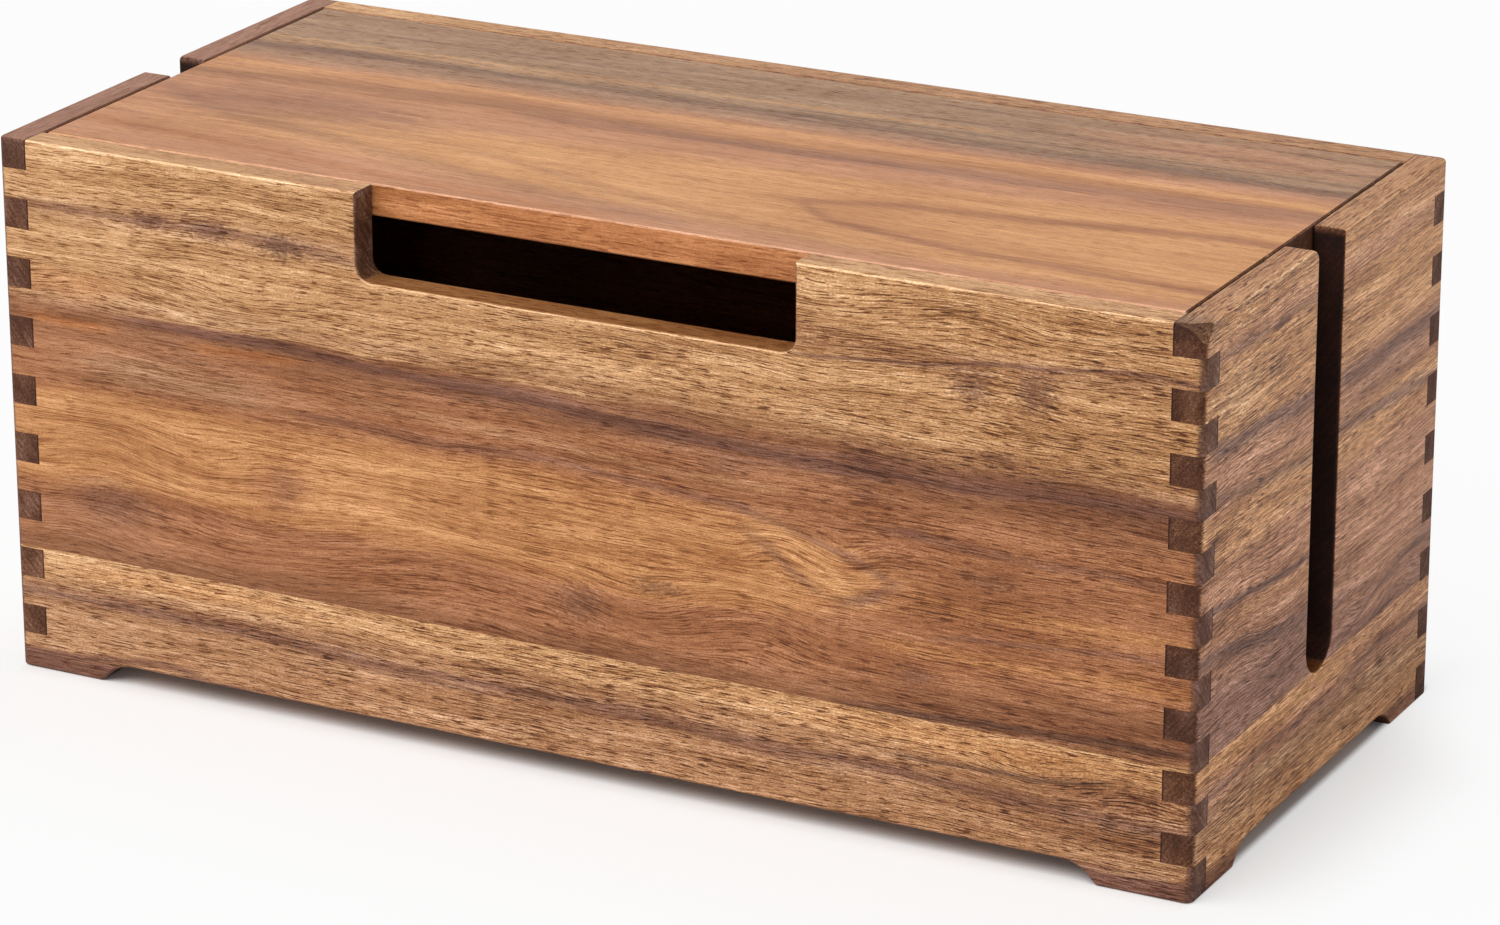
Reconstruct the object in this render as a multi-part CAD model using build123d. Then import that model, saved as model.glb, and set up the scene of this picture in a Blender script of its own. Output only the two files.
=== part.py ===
"""Cable management box: a finger-jointed hardwood box with a lid that drops in between the walls.

The walls are sawn from one panel, edge-glued from a wide stave and a narrow one below it, so the
glue joint runs round the box at one height. Each cable slot is cut down into the narrow stave and
parts the wide one in two. The box stands on bracket feet cut into its own walls. A power strip and
its adapters lie inside, the leads leave through the slots, and a hand notch in the front lets a
finger lift the lid.

Millimetres. The origin is on the floor at the middle of the footprint. +X runs along the
length, the front with the hand notch faces -Y, and +Z is up.
"""
from build123d import *
from math import cos, radians, sin, sqrt, tan
import os

# ------------------------------------------------------------------ driving sizes
LENGTH = 400.0  # outside, left end to right end
DEPTH = 182.0  # outside, front to back
HEIGHT = 173.0  # floor to rim
BOARD = 10.0  # thickness of the walls and of the lid
STAVE_JOINT = 40.9  # glue joint between the wide and the narrow stave, above the floor

# finger joints at the four corners: the end walls own the topmost finger
FINGER = 9.5  # height of one finger
END_WALL_FINGERS = 9  # on each upright edge of an end wall; the long walls fill the gaps
GLUE_LINE = 0.08  # slack between the cheeks of two neighbouring fingers

# edges eased by the router and the sander
CORNER_RADIUS = 2.5  # upright outer corners
OUTER_EDGE = 1.0  # rim, sole and openings, on the outer faces
INNER_EDGE = 0.5  # bevel on the rim, sole and openings, on the inner faces
WORN_CORNER = 8.0  # radius of the wear at the rim's front right corner, on the front face
WORN_EDGES = 0.6  # how far the wear takes back the two edges that meet there
WORN_DEPTH = 6.0  # where the wear has run out, behind the front face

# hand notch in the rim of the front wall
NOTCH_WIDTH = 146.0
NOTCH_DEPTH = 27.5
NOTCH_RADIUS = 5.0  # lower corners

# cable slot in each end wall, open at the rim and round at the foot
SLOT_WIDTH = 19.0
SLOT_BOTTOM = 39.5  # lowest point, above the floor
SLOT_MOUTH_RADIUS = 1.6  # where the sides of the slot meet the rim
WORN_MOUTH_RADIUS = 4.0  # the same at the front side of the right slot, where the plugs rub

# arches between the bracket feet
FOOT_LENGTH = 30.0  # flat sole of a foot, from the outer corner
ARCH_HEIGHT = 6.2
ARCH_SLOPE = 45.0  # degrees, flank of a foot
ARCH_RADIUS = 12.0  # cove between the flank and the top of the arch
FOOT_TIP_RADIUS = 1.2  # where the flank meets the sole

# bottom panel, lying loose in a stopped groove
PANEL = 6.0
PANEL_UNDERSIDE = 12.0  # above the floor
GROOVE_DEPTH = 5.0
GROOVE_SLACK = 0.4  # at each edge of the panel, so that it can swell
GROOVE_HEADROOM = 0.2  # above the panel

# lid, its top flush with the rim
LID_GAP_LONG = 0.4  # to the front and back walls
LID_GAP_LEFT = 0.9
LID_GAP_RIGHT = 0.5
LID_EDGE = 0.5  # bevel on every edge

# rests that carry the lid, glued to the end walls on both sides of each slot
REST_WIDTH = 12.0
REST_HEIGHT = 12.0
REST_FROM_SLOT = 6.0  # clear of the slot, so that a lead lies free
REST_CHAMFER = 4.0  # lower inner edge

# ------------------------------------------------------------------ worked out
INNER_X = LENGTH / 2 - BOARD  # inner face of an end wall
INNER_Y = DEPTH / 2 - BOARD  # inner face of a long wall
FOOT_FINGER = HEIGHT - (2 * END_WALL_FINGERS - 1) * FINGER  # lowest finger of a long wall
LID_UNDERSIDE = HEIGHT - BOARD
REST_START = SLOT_WIDTH / 2 + REST_FROM_SLOT  # from the middle of the end wall
HAIR = 0.01  # two places nearer than this are the same


# ------------------------------------------------------------------ small helpers
def block(x, y, z):
    """A box between a pair of coordinates on each axis."""
    size = (x[1] - x[0], y[1] - y[0], z[1] - z[0])
    return Pos(x[0], y[0], z[0]) * Box(*size, align=(Align.MIN, Align.MIN, Align.MIN))


def same(first, second):
    """Whether two coordinates are the same place."""
    return abs(first - second) < HAIR


def lies_at(edge, axis, value):
    """Whether an edge lies in the plane where `axis` has the given value."""
    box = edge.bounding_box()
    return same(getattr(box.min, axis), value) and same(getattr(box.max, axis), value)


def lies_on_walls(edge, half_length, half_depth):
    """Whether an edge lies on one of the four upright planes of a rectangle in plan."""
    planes = [("X", half_length), ("X", -half_length), ("Y", half_depth), ("Y", -half_depth)]
    return any(lies_at(edge, axis, value) for axis, value in planes)


def is_upright_at(edge, half_length, half_depth):
    """Whether an edge is one of the four upright corners of a rectangle in plan."""
    place = edge.center()
    return same(abs(place.X), half_length) and same(abs(place.Y), half_depth)


# ------------------------------------------------------------------ openings
def notch_cutter():
    """The hand notch, through the front wall only."""
    outline = Rectangle(NOTCH_WIDTH, 2 * NOTCH_DEPTH)
    outline = fillet(outline.vertices(), NOTCH_RADIUS)
    prism = extrude(Plane.XZ * outline, BOARD, both=True)
    return Pos(0, -DEPTH / 2, HEIGHT) * prism


def slot_cutter():
    """Both cable slots, from end to end of the box."""
    radius = SLOT_WIDTH / 2
    centre = SLOT_BOTTOM + radius
    straight = block((-LENGTH, LENGTH), (-radius, radius), (centre, 2 * HEIGHT))
    foot = Pos(0, 0, centre) * Rot(0, 90, 0) * Cylinder(radius, 2 * LENGTH)
    return straight + foot


def arch_outline(span):
    """The opening between the two feet of a wall `span` long, with the floor at zero."""
    slope = radians(ARCH_SLOPE)
    toe = span / 2 - FOOT_LENGTH
    flank_rise = ARCH_HEIGHT - ARCH_RADIUS * (1 - cos(slope))
    flank_top = toe - flank_rise / tan(slope)
    cove_end = flank_top - ARCH_RADIUS * sin(slope)
    cove_middle = (
        cove_end + ARCH_RADIUS * sin(slope / 2),
        ARCH_HEIGHT - ARCH_RADIUS * (1 - cos(slope / 2)),
    )
    with BuildSketch() as outline:
        with BuildLine():
            Line((0, 0), (toe, 0))
            Line((toe, 0), (flank_top, flank_rise))
            ThreePointArc((flank_top, flank_rise), cove_middle, (cove_end, ARCH_HEIGHT))
            Line((cove_end, ARCH_HEIGHT), (0, ARCH_HEIGHT))
            mirror(about=Plane.YZ)
        make_face()
    return outline.sketch


def arch_cutters():
    """The arches of the front and back walls, then those of the two end walls."""
    long_arch = extrude(Plane.XZ * arch_outline(LENGTH), DEPTH, both=True)
    end_arch = extrude(Plane.YZ * arch_outline(DEPTH), LENGTH, both=True)
    return [long_arch, end_arch]


# ------------------------------------------------------------------ walls
def slot_mouths(ring):
    """The sharp edges left where the sides of the slots meet the rim."""
    rim_ends = [e for e in ring.edges() if lies_at(e, "Z", HEIGHT) and abs(e.center().X) > INNER_X]
    return [e for e in rim_ends if same(abs(e.center().Y), SLOT_WIDTH / 2)]


def eased(ring):
    """The ring of walls with its edges eased wherever a router or sandpaper reaches them."""
    corners = [e for e in ring.edges() if is_upright_at(e, LENGTH / 2, DEPTH / 2)]
    ring = fillet(corners, CORNER_RADIUS)

    worn = [e for e in slot_mouths(ring) if e.center().X > 0 and e.center().Y < 0]
    ring = fillet(worn, WORN_MOUTH_RADIUS)
    ring = fillet(slot_mouths(ring), SLOT_MOUTH_RADIUS)

    soles = [e for e in ring.edges() if lies_at(e, "Z", 0)]
    long_tips = [e for e in soles if same(abs(e.center().X), LENGTH / 2 - FOOT_LENGTH)]
    end_tips = [e for e in soles if same(abs(e.center().Y), DEPTH / 2 - FOOT_LENGTH)]
    ring = fillet(long_tips + end_tips, FOOT_TIP_RADIUS)

    outer = [e for e in ring.edges() if lies_on_walls(e, LENGTH / 2, DEPTH / 2)]
    seams = [e for e in outer if e.bounding_box().size.Z > HEIGHT - 2 * BOARD]
    ring = fillet([e for e in outer if e not in seams], OUTER_EDGE)

    inner = [e for e in ring.edges() if lies_on_walls(e, INNER_X, INNER_Y)]
    return chamfer([e for e in inner if not is_upright_at(e, INNER_X, INNER_Y)], INNER_EDGE)


def worn_corner():
    """What is rubbed off the rim's front right corner: a block outside a cone that widens backwards."""
    middle = (LENGTH / 2 - WORN_CORNER, (WORN_DEPTH - DEPTH) / 2, HEIGHT - WORN_CORNER)
    front = -DEPTH / 2
    tip = block((middle[0], LENGTH / 2), (front, front + WORN_DEPTH), (middle[2], HEIGHT))
    cone = Cone(WORN_CORNER - WORN_EDGES, sqrt(2) * WORN_CORNER, WORN_DEPTH)
    return tip - Pos(*middle) * Rot(-90, 0, 0) * cone


def ring_of_walls():
    """The four walls in one piece, as they are shaped and sanded after glueing."""
    ring = block((-LENGTH / 2, LENGTH / 2), (-DEPTH / 2, DEPTH / 2), (0, HEIGHT))
    ring -= block((-INNER_X, INNER_X), (-INNER_Y, INNER_Y), (0, HEIGHT))
    ring -= notch_cutter()
    ring -= slot_cutter()
    for cutter in arch_cutters():
        ring -= cutter
    ring = eased(ring) - worn_corner()
    groove_x = INNER_X + GROOVE_DEPTH
    groove_y = INNER_Y + GROOVE_DEPTH
    groove_top = PANEL_UNDERSIDE + PANEL + GROOVE_HEADROOM
    ring -= block((-groove_x, groove_x), (-groove_y, groove_y), (PANEL_UNDERSIDE, groove_top))
    return ring


def end_wall_levels():
    """Foot and top of each finger that an end wall puts through a corner."""
    tops = [HEIGHT - 2 * FINGER * index for index in range(END_WALL_FINGERS)]
    return [(top - FINGER, top) for top in tops]


def long_wall_levels():
    """The same for the front and back walls, whose lowest finger is the foot of the box."""
    between = [(low - FINGER, low) for low, top in end_wall_levels()[:-1]]
    return between + [(0.0, FOOT_FINGER)]


def corner_fingers(x, y, levels):
    """A stack of fingers at one corner, each a hair slack so that the glue has room."""
    slack = GLUE_LINE / 2
    return [block(x, y, (low + slack * (low > 0), top - slack * (top < HEIGHT))) for low, top in levels]


def long_wall_space(side):
    """The space that the front wall (side -1) or the back wall (side 1) fills."""
    across = sorted((side * INNER_Y, side * DEPTH / 2))
    space = block((-INNER_X, INNER_X), across, (0, HEIGHT))
    for end in (-1, 1):
        corner = sorted((end * INNER_X, end * LENGTH / 2))
        for finger in corner_fingers(corner, across, long_wall_levels()):
            space += finger
    return space


def end_wall_space(side):
    """The space that the left end wall (side -1) or the right end wall (side 1) fills."""
    across = sorted((side * INNER_X, side * LENGTH / 2))
    space = block(across, (-INNER_Y, INNER_Y), (0, HEIGHT))
    for end in (-1, 1):
        corner = sorted((end * INNER_Y, end * DEPTH / 2))
        for finger in corner_fingers(across, corner, end_wall_levels()):
            space += finger
    return space


def staves(wall, upper_names, lower_name):
    """The wall by name in staves: what is left of the wide one, from front to back, and the narrow one."""
    above = block((-LENGTH, LENGTH), (-DEPTH, DEPTH), (STAVE_JOINT, 2 * HEIGHT))
    upper = sorted((wall & above).solids(), key=lambda solid: solid.center().Y)
    made = dict(zip(upper_names, upper, strict=True))
    made[lower_name] = wall - above
    return made


# ------------------------------------------------------------------ loose pieces
def bottom_panel():
    """The floor of the box, lying on the lower side of its groove."""
    half_x = INNER_X + GROOVE_DEPTH - GROOVE_SLACK
    half_y = INNER_Y + GROOVE_DEPTH - GROOVE_SLACK
    return block((-half_x, half_x), (-half_y, half_y), (PANEL_UNDERSIDE, PANEL_UNDERSIDE + PANEL))


def lid():
    """One board that drops in between the walls."""
    half_y = INNER_Y - LID_GAP_LONG
    board = block(
        (-INNER_X + LID_GAP_LEFT, INNER_X - LID_GAP_RIGHT),
        (-half_y, half_y),
        (LID_UNDERSIDE, HEIGHT),
    )
    return chamfer(board.edges(), LID_EDGE)


def lid_rest(end, side):
    """A strip on the left (-1) or right (1) end wall, in front of (-1) or behind (1) its slot."""
    across = sorted((end * INNER_X, end * (INNER_X - REST_WIDTH)))
    along = sorted((side * REST_START, side * INNER_Y))
    strip = block(across, along, (LID_UNDERSIDE - REST_HEIGHT, LID_UNDERSIDE))
    free_edges = [e for e in strip.edges() if lies_at(e, "X", end * (INNER_X - REST_WIDTH))]
    lower = [e for e in free_edges if lies_at(e, "Z", LID_UNDERSIDE - REST_HEIGHT)]
    return chamfer(lower, REST_CHAMFER)


def pieces():
    """Every piece of the box by name, in place."""
    ring = ring_of_walls()
    made = {"bottom_panel": bottom_panel(), "lid": lid()}
    for side, name in ((-1, "front"), (1, "back")):
        wall = ring & long_wall_space(side)
        made |= staves(wall, [f"{name}_wall_upper_stave"], f"{name}_wall_lower_stave")
    for end, end_name in ((-1, "left"), (1, "right")):
        wall = ring & end_wall_space(end)
        cheeks = [f"{end_name}_end_front_stave", f"{end_name}_end_back_stave"]
        made |= staves(wall, cheeks, f"{end_name}_end_lower_stave")
        for side, side_name in ((-1, "front"), (1, "back")):
            made[f"lid_rest_{end_name}_{side_name}"] = lid_rest(end, side)
    return made


if __name__ == "__main__":
    os.makedirs("parts", exist_ok=True)
    for name, piece in pieces().items():
        export_step(piece, f"parts/{name}.step")
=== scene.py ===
"""Looks of a finger-jointed cable box: oiled acacia boards on a pale studio floor in soft light.

The file is laid out as a Blender add-on. Each operator finishes the boards of one part of the box, or
sets up the studio, and the panel in the sidebar lists them.

Places in a board are millimetres. `along` follows the grain from the left or the front end,
`rise` crosses the grain, up a wall or from the front to the back of a lying board, and `depth`
goes in from the outer face.
"""
from dataclasses import dataclass
from math import e, exp, radians, tan

import bpy
from bpy.props import FloatProperty, FloatVectorProperty, PointerProperty
from mathutils import Matrix, Vector


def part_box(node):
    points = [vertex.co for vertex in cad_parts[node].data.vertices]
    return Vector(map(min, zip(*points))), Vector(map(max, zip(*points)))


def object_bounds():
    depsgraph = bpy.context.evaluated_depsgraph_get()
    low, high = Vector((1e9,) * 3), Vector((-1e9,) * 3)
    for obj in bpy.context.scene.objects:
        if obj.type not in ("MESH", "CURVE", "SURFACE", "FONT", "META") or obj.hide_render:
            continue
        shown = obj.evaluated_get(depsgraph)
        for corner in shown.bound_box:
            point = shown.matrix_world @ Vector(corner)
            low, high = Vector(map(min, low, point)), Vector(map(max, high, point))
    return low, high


bl_info = {
    "name": "Acacia cable box",
    "version": (1, 0, 0),
    "blender": (4, 5, 0),
    "location": "3D View > Sidebar > Cable box",
    "description": "Finishes the boards of a finger-jointed cable box and sets up a small studio",
    "category": "Material",
}

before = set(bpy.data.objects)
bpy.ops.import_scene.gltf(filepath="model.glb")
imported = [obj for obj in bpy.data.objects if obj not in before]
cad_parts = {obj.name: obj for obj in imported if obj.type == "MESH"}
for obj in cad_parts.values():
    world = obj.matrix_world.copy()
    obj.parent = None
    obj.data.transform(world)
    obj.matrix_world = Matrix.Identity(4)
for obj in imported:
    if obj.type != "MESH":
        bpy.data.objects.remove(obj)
CAD_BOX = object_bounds()

MM = 1000.0  # millimetres in a metre
LENGTH, DEPTH, HEIGHT = ((high - low) * MM for low, high in zip(*CAD_BOX))
BOARD = (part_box("lid")[1].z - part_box("lid")[0].z) * MM  # thickness of the walls and of the lid
REACH = 400.0  # millimetres that a curve or a ramp of colours covers


def linear(code):
    """Scene-linear red, green and blue of an sRGB code such as cc986a."""
    shares = [int(code[i : i + 2], 16) / 255 for i in (0, 2, 4)]
    return tuple(s / 12.92 if s <= 0.04045 else ((s + 0.055) / 1.055) ** 2.4 for s in shares)


def colour_property(name, description, code):
    """A colour that a user can change, with its default as an sRGB code."""
    return FloatVectorProperty(
        name=name, description=description, subtype="COLOR", size=3, min=0, max=1, default=linear(code)
    )


# ------------------------------------------------------------------ settings
class AcaciaSettings(bpy.types.PropertyGroup):
    """Colours and grain of the oiled acacia."""

    straw: colour_property("Straw", "Palest bands, open-grained", "d09c6b")
    tan: colour_property("Tan", "Pale bands beside the straw ones", "b8855c")
    honey: colour_property("Honey", "Warm light bands", "d49762")
    amber: colour_property("Amber", "Orange bands near the heart", "c48754")
    russet: colour_property("Russet", "Red-brown bands", "ab7049")
    chestnut: colour_property("Chestnut", "Darker red-brown bands", "9a6543")
    plum: colour_property("Plum", "Purple-brown streaks", "7d5240")
    umber: colour_property("Umber", "Darkest streaks", "5f3e30")
    drift: colour_property("Drift", "Greyish brown bands", "a98262")
    taupe: colour_property("Taupe", "Greyish rose bands", "a06f57")
    rose: colour_property("Rose", "Pinkish brown bands", "c68a63")
    cocoa: colour_property("Cocoa", "End grain, which drinks more oil", "583a2e")
    sienna: colour_property("Sienna", "Orange-red glints", "ba7441")

    pore_length: FloatProperty(
        name="Pore length", description="Length of an open pore", default=0.005, min=0.001, unit="LENGTH"
    )
    pore_width: FloatProperty(
        name="Pore width", description="Width of an open pore", default=0.0004, min=0.0001, unit="LENGTH"
    )
    pore_depth: FloatProperty(
        name="Pore depth", description="How deep the open pores look", default=0.00012, min=0, unit="LENGTH"
    )
    roughness: FloatProperty(
        name="Roughness",
        description="Roughness of the oiled face",
        default=0.46,
        min=0,
        max=1,
        subtype="FACTOR",
    )
    gloss: FloatProperty(
        name="Gloss", description="How much the oil shines", default=0.25, min=0, max=1, subtype="FACTOR"
    )


class StudioSettings(bpy.types.PropertyGroup):
    """Camera, floor and lamps."""

    floor: colour_property("Floor", "Colour of the floor", "fdfdfd")
    azimuth: FloatProperty(
        name="Azimuth",
        description="Camera's turn round the box, from the front towards the right",
        default=radians(27.733),
        unit="ROTATION",
    )
    elevation: FloatProperty(
        name="Elevation", description="Camera's tilt down", default=radians(19.788), unit="ROTATION"
    )
    roll: FloatProperty(name="Roll", description="Camera's roll", default=radians(-0.08), unit="ROTATION")
    eye: FloatVectorProperty(
        name="Camera place",
        description="Where the camera stands",
        subtype="TRANSLATION",
        size=3,
        default=(0.78414, -1.47102, 0.67129),
    )
    lens: FloatProperty(
        name="Lens", description="Focal length on a sensor 36 mm wide", default=137.933, unit="CAMERA"
    )
    sky: FloatProperty(
        name="Sky", description="Light from all round", default=0.42, min=0, subtype="FACTOR", soft_max=1
    )
    key: FloatProperty(
        name="Key lamp", description="Strength of the wide soft lamp at the front left", default=2.2, min=0
    )
    key_width: FloatProperty(
        name="Key width", description="Angle that the key lamp fills", default=radians(55), unit="ROTATION"
    )


# ------------------------------------------------------------------ shader graphs
class Wire:
    """A socket's value in an expression: maths on it adds Math nodes to its graph."""

    def __init__(self, graph, socket):
        self.graph = graph
        self.socket = socket

    def __add__(self, other):
        return self.graph.maths("ADD", self, other)

    def __radd__(self, other):
        return self.graph.maths("ADD", other, self)

    def __sub__(self, other):
        return self.graph.maths("SUBTRACT", self, other)

    def __rsub__(self, other):
        return self.graph.maths("SUBTRACT", other, self)

    def __mul__(self, other):
        return self.graph.maths("MULTIPLY", self, other)

    def __rmul__(self, other):
        return self.graph.maths("MULTIPLY", other, self)

    def __truediv__(self, other):
        return self.graph.maths("DIVIDE", self, other)

    def __rtruediv__(self, other):
        return self.graph.maths("DIVIDE", other, self)

    def __abs__(self):
        return self.graph.maths("ABSOLUTE", self)


class Graph:
    """The node tree of one material or of the world."""

    def __init__(self, owner):
        owner.use_nodes = True
        self.tree = owner.node_tree
        self.tree.nodes.clear()

    def node(self, kind, settings=None, inputs=None, outputs=(0,)):
        """Adds a node: its settings first, then the values or wires of its sockets.

        Gives the outputs that are asked for.
        """
        node = self.tree.nodes.new(kind)
        for name, value in (settings or {}).items():
            if name == "stops":
                self.fill_ramp(node.color_ramp, value)
            elif name == "points":
                self.fill_curve(node.mapping, value)
            else:
                setattr(node, name, value)
        for name, value in (inputs or {}).items():
            socket = self.socket(node.inputs, name)
            if isinstance(value, Wire):
                self.tree.links.new(value.socket, socket)
            else:
                socket.default_value = value
        wires = [Wire(self, self.socket(node.outputs, name)) for name in outputs if node.outputs]
        return wires[0] if len(wires) == 1 else wires

    @staticmethod
    def socket(sockets, name):
        """A socket by its place or its identifier."""
        if isinstance(name, int):
            return sockets[name]
        return next(s for s in sockets if s.identifier == name)

    @staticmethod
    def fill_ramp(ramp, stops):
        """Sets a colour ramp's (position, colour, alpha) stops."""
        for _ in stops[2:]:
            ramp.elements.new(1.0)
        for element, (position, colour, alpha) in zip(ramp.elements, stops):
            element.position = position
            element.color = (*colour, alpha)

    @staticmethod
    def fill_curve(mapping, points):
        """Sets a float curve's points."""
        curve = mapping.curves[0]
        for _ in points[2:]:
            curve.points.new(1.0, 1.0)
        for point, place in zip(curve.points, points):
            point.location = place
        mapping.update()

    def maths(self, operation, *values):
        """A Math node."""
        return self.node("ShaderNodeMath", {"operation": operation}, dict(enumerate(values)))

    def vector(self, x, y, z):
        """Three values as one vector."""
        return self.node("ShaderNodeCombineXYZ", None, {"X": x, "Y": y, "Z": z})

    def smooth(self, low, high, value):
        """From 0 at low to 1 at high, with a soft start and end."""
        settings = {"interpolation_type": "SMOOTHSTEP", "clamp": True}
        return self.node("ShaderNodeMapRange", settings, {"Value": value, "From Min": low, "From Max": high})

    def mix(self, share, first, second):
        """From the first colour to the second."""
        settings = {"data_type": "RGBA", "clamp_factor": True}
        inputs = {"Factor_Float": share, "A_Color": first, "B_Color": second}
        return self.node("ShaderNodeMix", settings, inputs, ("Result_Color",))

    def tint(self, colour, factor):
        """A colour times another, or times a grey level."""
        return self.node("ShaderNodeVectorMath", {"operation": "MULTIPLY"}, {0: colour, 1: factor})

    def noise(self, x, y, z, detail=2.0):
        """Smooth noise round zero, with one lump to a unit."""
        inputs = {"Vector": self.vector(x, y, z), "Scale": 1.0, "Detail": detail}
        return self.node("ShaderNodeTexNoise", None, inputs) - 0.5

    def curve(self, along, points):
        """A smooth curve through (along, value) points in millimetres."""
        places = [(x / REACH, y / REACH + 0.5) for x, y in points]
        return (self.node("ShaderNodeFloatCurve", {"points": places}, {"Value": along / REACH}) - 0.5) * REACH


def rgba(colour):
    """A colour with its alpha, as a colour socket takes it."""
    return (*colour, 1.0)


# ------------------------------------------------------------------ boards
@dataclass
class Streak:
    """A line in the figure that follows (along, rise) points."""

    path: tuple
    width: float
    colour: str
    strength: float = 0.7


@dataclass
class Patch:
    """A soft-edged cloud in the figure. A mottled one breaks up into short specks."""

    middle: tuple
    reach: tuple
    colour: str
    strength: float = 0.6
    mottled: bool = False


@dataclass
class Turn:
    """Where the grain runs askew, by an angle in degrees that fades towards its reach."""

    middle: tuple
    reach: tuple
    angle: float


@dataclass
class Board:
    """How one board was sawn from its log, and so what figure it shows.

    `bands` are (level, colour) pairs across the growth rings. The level is the distance to the
    heart line, whose (along, rise, level) points say where it runs and how deep it lies under the
    face. A board without a heart line has its rise as level. `lift` curves the rings above the heart.
    `grain` is how strong its fibres are, and `crisp` how open the sander left them at the start and at
    the end of the board. `handled` is how soiled its two upright corners are, and `thirst` how dark the
    oil made its ends. The (along, share) points of its falloff are painted shade: its upright faces get
    darker along the board, as if the light fell off towards the right end.
    """

    bands: tuple
    heart: tuple = ()
    lift: tuple = ()
    streaks: tuple = ()
    patches: tuple = ()
    turns: tuple = ()
    # painted shade along the board's upright faces, as light falling off towards the right
    fade: tuple = ((0, 1.0), (400, 1.0))
    grain: float = 1.0
    crisp: tuple = (1.0, 1.0)
    handled: tuple = (0.0, 0.0)
    thirst: float = 0.0
    seed: float = 0.0


FRONT_WIDE = Board(
    heart=((0, 80, 6), (120, 80, 6), (230, 79, 3), (305, 79, 17), (400, 79, 24.8)),
    lift=((0, 1), (150, 0), (300, 0), (350, -2.6), (400, -5.7)),
    bands=(
        (0, "honey"),
        (6, "amber"),
        (15, "amber"),
        (19, "russet"),
        (30, "russet"),
        (36, "chestnut"),
        (42.5, "chestnut"),
        (45, "tan"),
        (52, "straw"),
        (68, "straw"),
        (74, "tan"),
        (80, "straw"),
        (95, "straw"),
    ),
    streaks=(
        Streak(((165, 117.5), (200, 116.5), (240, 115)), 1.6, "umber", 0.5),
        Streak(((150, 118), (200, 116.5), (262, 114), (300, 113.5)), 4.5, "plum", 0.6),
        Streak(((290, 116.5), (340, 117), (400, 117.5)), 5.5, "plum", 0.6),
        Streak(((45, 120.5), (100, 120.5), (130, 119.5), (160, 118.5), (200, 117), (262, 114.5), (300, 113.8),
                (340, 115), (400, 117)), 2.4, "plum", 0.9),
        Streak(((55, 123.5), (130, 123.8), (210, 122)), 1.1, "straw", 0.7),
        Streak(((10, 155), (45, 153.5), (80, 153.5), (127, 151)), 2.2, "plum", 0.5),
        Streak(((273, 146), (300, 147.5), (320, 149.5), (335, 152), (350, 153.3), (380, 155.5), (400, 155)),
               1.0, "plum", 0.8),
        Streak(((105, 100), (150, 99.5), (200, 99), (240, 97.5), (262, 95.5)), 2.2, "plum", 0.5),
        Streak(((252, 97.5), (270, 92.5), (285, 88.5), (297, 84.5), (306, 80)), 2.2, "plum", 0.55),
        Streak(((262, 91), (275, 86), (285, 80), (294, 75)), 5.5, "honey", 0.8),
        Streak(((258, 89), (268, 83), (275, 78), (281, 75)), 3.0, "plum", 0.5),
        Streak(((288, 72.5), (297, 75), (305, 79.5)), 3.0, "plum", 0.7),
        Streak(((318, 66.5), (340, 69.5), (365, 71.5), (392, 72.5)), 1.1, "plum", 0.6),
        Streak(((298, 96.5), (345, 95.5), (400, 94.5)), 2.0, "plum", 0.5),
        Streak(((285, 42), (330, 43), (370, 44.5), (400, 46)), 1.8, "umber", 0.75),
        Streak(((300, 62), (350, 63), (400, 64)), 3.0, "amber", 0.8),
        Streak(((310, 77), (400, 78)), 3.5, "amber", 0.7),
        Streak(((120, 108), (170, 105.5), (220, 104), (270, 103.5)), 2.4, "tan", 0.55),
        Streak(((8, 116.5), (38, 116.5)), 2.4, "sienna", 0.7),
        Streak(((68, 115.5), (106, 116)), 1.8, "sienna", 0.7),
        Streak(((205, 46), (250, 44.5), (300, 43)), 2.0, "chestnut", 0.6),
    ),
    patches=(
        Patch((54, 154), (9, 3.5), "plum", 0.75, mottled=True),
        Patch((76, 153), (11, 4), "plum", 0.75, mottled=True),
        Patch((101, 152), (12, 4.5), "umber", 0.75, mottled=True),
        Patch((329, 145), (9, 8), "plum", 0.7, mottled=True),
        Patch((349, 146), (9, 9), "plum", 0.7, mottled=True),
        Patch((338, 124), (9, 3), "plum", 0.6, mottled=True),
        Patch((60, 104), (60, 9), "drift", 0.4),
        Patch((24, 129), (34, 7), "sienna", 0.4),
        Patch((34, 56), (34, 15), "chestnut", 0.7),
        Patch((38, 60), (18, 9), "plum", 0.5, mottled=True),
        Patch((97, 75), (16, 11), "russet", 0.7),
        Patch((100, 77), (7, 9), "chestnut", 0.6, mottled=True),
        Patch((60, 177), (140, 5.5), "russet", 0.55),
        Patch((202, 56), (12, 8), "umber", 0.5, mottled=True),
        Patch((228, 66), (12, 3.5), "umber", 0.5, mottled=True),
        Patch((312, 54), (10, 4), "plum", 0.6, mottled=True),
        Patch((335, 87), (12, 4), "umber", 0.4, mottled=True),
        Patch((312, 96.5), (9, 2.5), "plum", 0.6),
        Patch((250, 108), (11, 3), "plum", 0.5, mottled=True),
        Patch((297, 106), (10, 3), "plum", 0.4, mottled=True),
    ),
    turns=(
        Turn((125, 55), (90, 24), 8),
        Turn((240, 60), (48, 18), 15),
        Turn((278, 85), (26, 13), -18),
        Turn((50, 78), (46, 15), -11),
        Turn((35, 50), (34, 16), -7),
        Turn((60, 133), (55, 13), -7),
        Turn((305, 164), (50, 13), 9),
        Turn((310, 143), (60, 15), 6),
    ),
    fade=((0, 1.03), (130, 0.98), (260, 0.91), (400, 0.81)),
    crisp=(0.65, 1.1),
    handled=(0.5, 0.9),
    thirst=-0.4,
    seed=1.0,
)

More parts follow.
